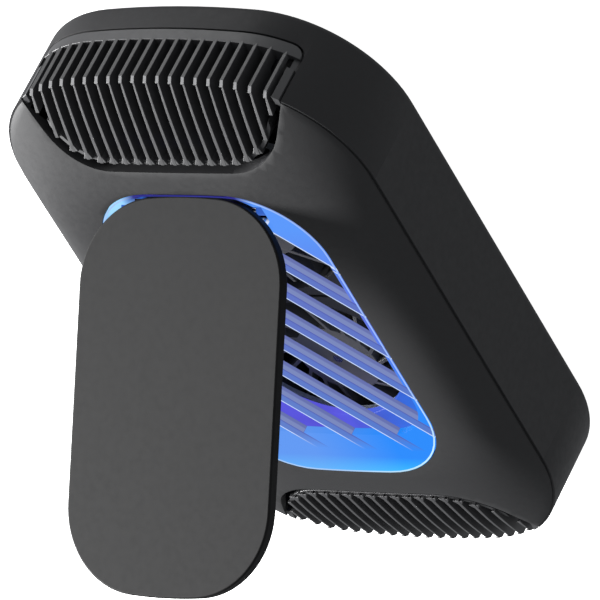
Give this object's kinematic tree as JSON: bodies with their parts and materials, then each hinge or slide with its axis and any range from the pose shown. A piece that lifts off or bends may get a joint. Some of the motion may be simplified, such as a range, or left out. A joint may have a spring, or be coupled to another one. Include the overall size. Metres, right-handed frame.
{
  "type": "phone cooler",
  "caption": "Clip-on phone cooler: flat rounded housing, lit louvred air window, small blowers, ribbed outlets in its short ends and a hinged flap that hooks over a phone case.",
  "frame": {"origin": "centre of the flat rear face", "axes": "+X across the short side, +Y along the long side towards the flap's hinge, +Z out of the louvred window"},
  "size_m": [0.0486, 0.08, 0.0508],
  "materials": {
    "housing_plastic": "fine matte black moulding",
    "grille_plastic": "satin black moulding",
    "bracket_plastic": "matte black moulding",
    "flap_plastic": "smooth matte dark grey",
    "window_tint": "translucent blue, lit from its edges",
    "light_guide": "milky light guide, lit blue",
    "board_white": "white solder mask",
    "led_lens": "lit lens",
    "screw_steel": "black oxide",
    "pin_steel": "ground steel",
    "board_green": "solder mask",
    "chip_black": "moulded package",
    "socket_steel": "stamped steel",
    "tongue_plastic": "black",
    "lead_film": "amber film",
    "fan_frame_plastic": "black moulding",
    "fan_rotor_plastic": "dark grey moulding",
    "bearing_bronze": "oiled sleeve",
    "stator_steel": "stacked sheet",
    "copper_wire": "enamelled copper",
    "magnet_black": "bonded magnet"
  },
  "bodies": {
    "housing": {"rear_shell": "housing_plastic", "front_shell": "housing_plastic", "grille_hinge_end": "grille_plastic", "grille_far_end": "grille_plastic", "window_panel": "window_tint", "light_plate": "light_guide", "led_board": "board_white", "leds": "led_lens", "led_board_screws": "screw_steel", "hinge_bracket": "bracket_plastic", "control_board": "board_green", "control_chips": "chip_black", "usb_socket_shell": "socket_steel", "usb_socket_tongue": "tongue_plastic", "fan_leads": "lead_film", "housing_screws": "screw_steel", "fan_frame_hinge_end": "fan_frame_plastic", "fan_board_hinge_end": "board_green", "bearing_hinge_end": "bearing_bronze", "stator_hinge_end": "stator_steel", "coils_hinge_end": "copper_wire", "fan_frame_far_end": "fan_frame_plastic", "fan_board_far_end": "board_green", "bearing_far_end": "bearing_bronze", "stator_far_end": "stator_steel", "coils_far_end": "copper_wire"},
    "flap": {"flap": "flap_plastic", "hinge_pin": "pin_steel"},
    "rotor_hinge_end": {"fan_rotor_hinge_end": "fan_rotor_plastic", "magnet_ring_hinge_end": "magnet_black", "fan_shaft_hinge_end": "pin_steel"},
    "rotor_far_end": {"fan_rotor_far_end": "fan_rotor_plastic", "magnet_ring_far_end": "magnet_black", "fan_shaft_far_end": "pin_steel"}
  },
  "joints": [
    {"name": "flap_hinge", "type": "hinge", "parent": "housing", "child": "flap", "pos_m": [0, 0.02165, 0.0146], "axis": [-1, 0, 0], "range_deg": [-51.9, 0]},
    {"name": "rotor_spin_hinge_end", "type": "hinge", "parent": "housing", "child": "rotor_hinge_end", "pos_m": [0, 0.0117, 0.005], "axis": [0, 0, 1], "continuous": true},
    {"name": "rotor_spin_far_end", "type": "hinge", "parent": "housing", "child": "rotor_far_end", "pos_m": [0, -0.0117, 0.005], "axis": [0, 0, 1], "continuous": true}
  ]
}
